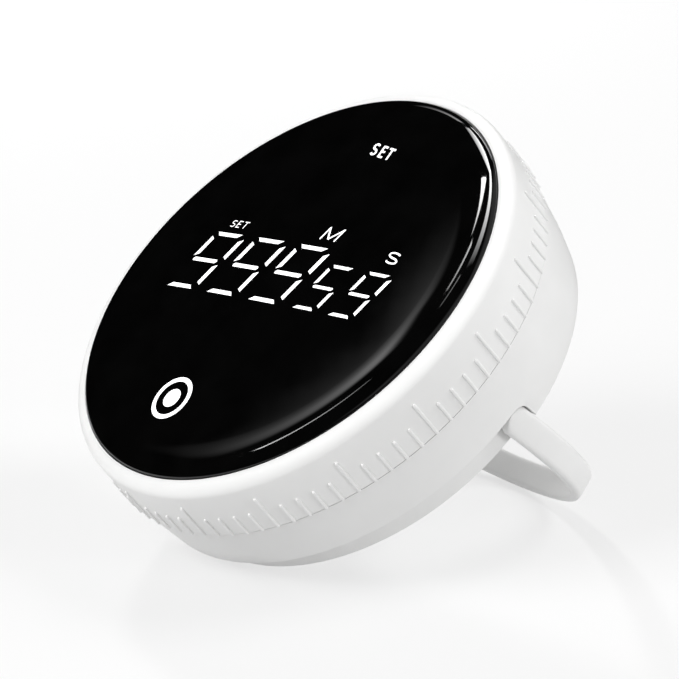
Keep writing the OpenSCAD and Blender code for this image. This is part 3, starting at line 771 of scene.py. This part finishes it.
# %% Floor
floor_half = 0.8
paper_grey = 0.3
paper_fill = 0.25
paper_white = 0.6
floor_mesh = bpy.data.meshes.new("floor")
floor_corners = [(-floor_half, -floor_half, 0), (floor_half, -floor_half, 0)]
floor_corners += [(floor_half, floor_half, 0), (-floor_half, floor_half, 0)]
floor_mesh.from_pydata(floor_corners, [], [(0, 1, 2, 3)])
floor = bpy.data.objects.new("floor", floor_mesh)
bpy.context.scene.collection.objects.link(floor)
paper = bpy.data.materials.new("white_paper")
paper.use_nodes = True
paper_tree = paper.node_tree
paper_shader = paper_tree.nodes["Principled BSDF"]
paper_shader.inputs["Base Color"].default_value = (paper_grey, paper_grey, paper_grey, 1)
paper_shader.inputs["Roughness"].default_value = 0.9
paper_shader.inputs["Specular IOR Level"].default_value = 0.0
paper_shader.inputs["Emission Color"].default_value = (1, 1, 1, 1)
paper_level = ray_level(paper_tree, paper_fill, paper_white)
paper_tree.links.new(paper_level, paper_shader.inputs["Emission Strength"])
floor_mesh.materials.append(paper)
print("the floor is", 2 * floor_half, "m wide")

# %% [markdown]
# ## Lamps
# A lamp before the face lights the bevel and the lower side. One above its far right side and a low one at
# the right light the right half and pick out the ribs. The last is small and stands behind the timer on its
# left, so it throws the shadow towards the viewer, as in the photograph. They are left out of mirror images,
# which the next cells take care of.

# %% Lamps
face_middle = placed([0, 0, 12])


def lamp(name, place, size, power_w):
    """A square lamp at a place in metres, turned so that its light falls on the face."""
    data = bpy.data.lights.new(name, "AREA")
    data.size = size
    data.energy = power_w
    lamp_object = bpy.data.objects.new(name, data)
    aim = Vector(face_middle - np.asarray(place))
    lamp_object.matrix_world = Matrix.Translation(place) @ aim.to_track_quat("-Z", "Y").to_matrix().to_4x4()
    lamp_object.visible_glossy = False
    bpy.context.scene.collection.objects.link(lamp_object)


lamp("front", place=(0, -0.79, 0.54), size=0.5, power_w=6.5)
lamp("far_right", place=(0.33, 0.59, 0.67), size=0.4, power_w=3.2)
lamp("low_right", place=(0.85, 0.33, 0.25), size=0.3, power_w=2.5)
lamp("behind", place=(-0.8, 0.28, 0.4), size=0.08, power_w=3.6)

# %% [markdown]
# ## What the black face mirrors
# A black gloss face shows the room around it, and a white room would turn it grey. A studio puts it in a dark tent
# with a few bright panels; here that tent is painted shade and painted reflection, seen in mirror images only. It
# is a dome with a flat skirt on the floor. A grid of angle and height gives its points, and the direction from the
# face to each of them says where in the face it is mirrored.

# %% Dark tent: painted shade for mirror images
tent_r = 2.0
tent_lift = 0.0006
skirt = [0.075, 0.15, 0.4, 1.0]
tent_turn = np.radians(np.arange(0, 360, 1.5))
tent_rise = np.radians(np.linspace(0, 90, 91))
tent_out = np.concatenate([skirt, tent_r * np.cos(tent_rise)])[:, None]
tent_up = np.concatenate([np.zeros(len(skirt)), tent_r * np.sin(tent_rise)])[:, None] + tent_lift
tent_grid = [tent_out * np.cos(tent_turn), tent_out * np.sin(tent_turn), tent_up + 0 * tent_turn]
tent_points = np.stack(tent_grid, axis=-1).reshape(-1, 3)
tent_faces = grid_faces(len(tent_out), len(tent_turn), True)
way = tent_points - face_middle
way /= np.linalg.norm(way, axis=1, keepdims=True)
print("the tent has", len(tent_points), "points")

# %% [markdown]
# ## Glow of the tent
# Each point of the tent has its own glow, which is painted reflection. A grey patch at the left is a painted
# sheen, which the face shows near its right edge: it gets brighter from its left edge to a crest and ends at a
# soft rim. A dull glow behind and to the right is the painted reflection that the rolled edge shows. A painted
# picture would do as well, but a formula can be read.

# %% Glow of the tent
crest_glow = 2.15
beside_glow = 0.39
dull_glow = 0.45
patch_left = 0.71
bend_start = -0.24
narrow_rim = 0.06
wide_rim = 0.27
crest_way = 0.17


def smooth_step(value, start, stop):
    """0 before the start, 1 after the stop, and an S-shaped rise between them."""
    part = np.clip((value - start) / (stop - start), 0, 1)
    return part * part * (3 - 2 * part)


# Painted sheen: the glow that the face mirrors near its right edge.
def painted_sheen(side, ahead):
    """The patch's glow: a power of the way in from its left edge, up to a rim that is wider further forward.

    `inside` is the way in from the left edge, which bends for directions well forward, and `along` runs along
    the crest. The crest fades at both ends, and a softer glow lies beside its upper end.
    """
    lean_back = np.degrees(np.arcsin(ahead))
    inside = side + patch_left + 0.67 * np.maximum(0, bend_start - ahead)
    along = lean_back + 40 * inside
    rim = narrow_rim + 0.009 * np.maximum(0, -9 - lean_back) + 0.017 * np.maximum(0, -16 - lean_back)
    rim = np.minimum(rim, wide_rim)
    blur = 0.015 + 0.12 * rim
    within = 1 - smooth_step(inside, rim - blur, rim + blur)
    crest = 0.13 * smooth_step(inside, -0.01, 0.04) + 0.87 * np.clip(inside / crest_way, 0, 1) ** 1.7
    crest *= np.clip((along + 24) / 10, 0, 1) ** 1.4 * (1 - smooth_step(along, -13, -9.5))
    beside = smooth_step(inside, -0.02, 0.03) * smooth_step(along, -15, -12.3)
    beside *= 1 - smooth_step(along, -11.3, -6)
    return (beside_glow * beside + crest_glow * crest) * within


# Painted reflection: the dull glow that the rolled edge mirrors.
def painted_dull_reflection(side, ahead, overhead):
    """A dull glow to the right, and behind from a little left of the middle on, fading to the floor."""
    at_right = smooth_step(side, 0.45, 0.75)
    behind = smooth_step(ahead, 0.12, 0.35) * smooth_step(side, -0.3, -0.1)
    return dull_glow * np.maximum(at_right, behind) * smooth_step(overhead, 0.0, 0.2)


painted_reflection_glow = painted_sheen(way[:, 0], way[:, 1]) + painted_dull_reflection(way[:, 0], way[:, 1], way[:, 2])
print("the tent glows at most", round(float(painted_reflection_glow.max()), 2))

# %% [markdown]
# ## Bright panels
# The streaks along the face's rolled edge are painted highlights: the mirror images of narrow glowing panels
# overhead. A panel is a patch between four directions seen from the face, with a glow at each corner, and both are
# blended over the patch.
# The panels hang just inside the tent. Real lamps would do, but their light would also fall on the case.

# %% Bright panels


def panel(corners, glows, bow=(0, 0, 0), near=0.95):
    """A patch and its glow, blended between four corners, u along and v across; its first edge bows out."""
    u = np.linspace(0, 1, 13)[:, None]
    v = np.linspace(0, 1, 9)
    weights = np.stack([(1 - u) * (1 - v), u * (1 - v), u * v, (1 - u) * v], axis=-1).reshape(-1, 4)
    bulge = (4 * u * (1 - u) * (1 - v)).reshape(-1, 1)
    toward = weights @ np.asarray(corners) + bulge * np.asarray(bow)
    toward /= np.linalg.norm(toward, axis=1, keepdims=True)
    faces = grid_faces(u.size, v.size, False)
    return face_middle + near * tent_r * toward, weights @ np.asarray(glows), faces


# Painted highlights: each panel's glow is mirrored as a streak on the rolled edge.
panels = [
    panel(
        [(-0.65, 0.3, 0.7), (-0.38, 0.24, 0.89), (-0.35, 0.31, 0.88), (-0.62, 0.37, 0.69)],
        [1.5, 12, 26, 7], bow=(-0.03, -0.08, 0.005)
    ),
    panel(
        [(-0.4, 0.28, 0.88), (-0.19, -0.19, 0.96), (0.05, -0.08, 1.0), (-0.35, 0.33, 0.88)],
        [26, 0, 0, 26], near=0.94
    ),
    panel(
        [(-0.54, 0.03, 0.84), (-0.48, -0.14, 0.86), (-0.47, -0.13, 0.86), (-0.46, 0.11, 0.88)],
        [24, 9, 9, 26]
    ),
    panel(
        [(-0.43, -0.14, 0.89), (-0.41, -0.28, 0.87), (-0.38, -0.28, 0.88), (-0.39, -0.15, 0.91)],
        [11, 5, 5, 11]
    ),
    panel(
        [(-0.28, -0.23, 0.93), (-0.29, -0.33, 0.9), (-0.26, -0.33, 0.9), (-0.25, -0.23, 0.94)],
        [4, 2, 2, 4]
    ),
    panel(
        [(-0.52, -0.66, 0.55), (-0.39, -0.51, 0.77), (-0.37, -0.51, 0.78), (-0.49, -0.67, 0.56)],
        [16, 3, 3, 16]
    ),
    panel(
        [(-0.8, 0.29, 0.52), (-0.68, 0.31, 0.66), (-0.65, 0.38, 0.66), (-0.78, 0.37, 0.5)],
        [0, 3, 2, 0]
    ),
    panel(
        [(-0.61, 0.49, 0.62), (-0.31, 0.69, 0.65), (-0.36, 0.78, 0.51), (-0.59, 0.56, 0.58)],
        [8, 2.5, 2, 6]
    ),
]
print("bright panels:", len(panels))

# %% [markdown]
# ## The tent's mesh
# Tent and panels share one mesh and one black material that glows by an attribute, so a point's glow is a number
# stored with it: the painted reflection. The object is switched off for all rays but mirror ones. The camera never
# sees it, and it neither lights the timer nor shades it.

# %% The tent's mesh
shapes = [(tent_points, tent_faces)] + [(points, faces) for points, glow_here, faces in panels]
tent_shape, tent_quads = joined(shapes)
glows = np.concatenate([painted_reflection_glow] + [glow_here for points, glow_here, faces in panels])
# Painted reflection and painted shade, seen only in mirror images.
tent_mesh = bpy.data.meshes.new("painted_reflection_tent")
tent_mesh.from_pydata(tent_shape.tolist(), [], tent_quads.tolist())
tent_mesh.attributes.new("glow", "FLOAT", "POINT").data.foreach_set("value", glows)
tent = bpy.data.objects.new("painted_reflection_tent", tent_mesh)
bpy.context.scene.collection.objects.link(tent)
tent.visible_camera = False
tent.visible_diffuse = False
tent.visible_transmission = False
tent.visible_shadow = False
reflection_material = bpy.data.materials.new("painted_reflection_material")
reflection_material.use_nodes = True
reflection_shader = reflection_material.node_tree.nodes["Principled BSDF"]
reflection_shader.inputs["Base Color"].default_value = (0, 0, 0, 1)
reflection_shader.inputs["Specular IOR Level"].default_value = 0
reflection_shader.inputs["Emission Color"].default_value = (1, 1, 1, 1)
reflection_glow_node = reflection_material.node_tree.nodes.new("ShaderNodeAttribute")
reflection_glow_node.attribute_name = "glow"
reflection_material.node_tree.links.new(reflection_glow_node.outputs["Fac"], reflection_shader.inputs["Emission Strength"])
tent_mesh.materials.append(reflection_material)
print("the tent and its panels have", len(tent_mesh.polygons), "faces")
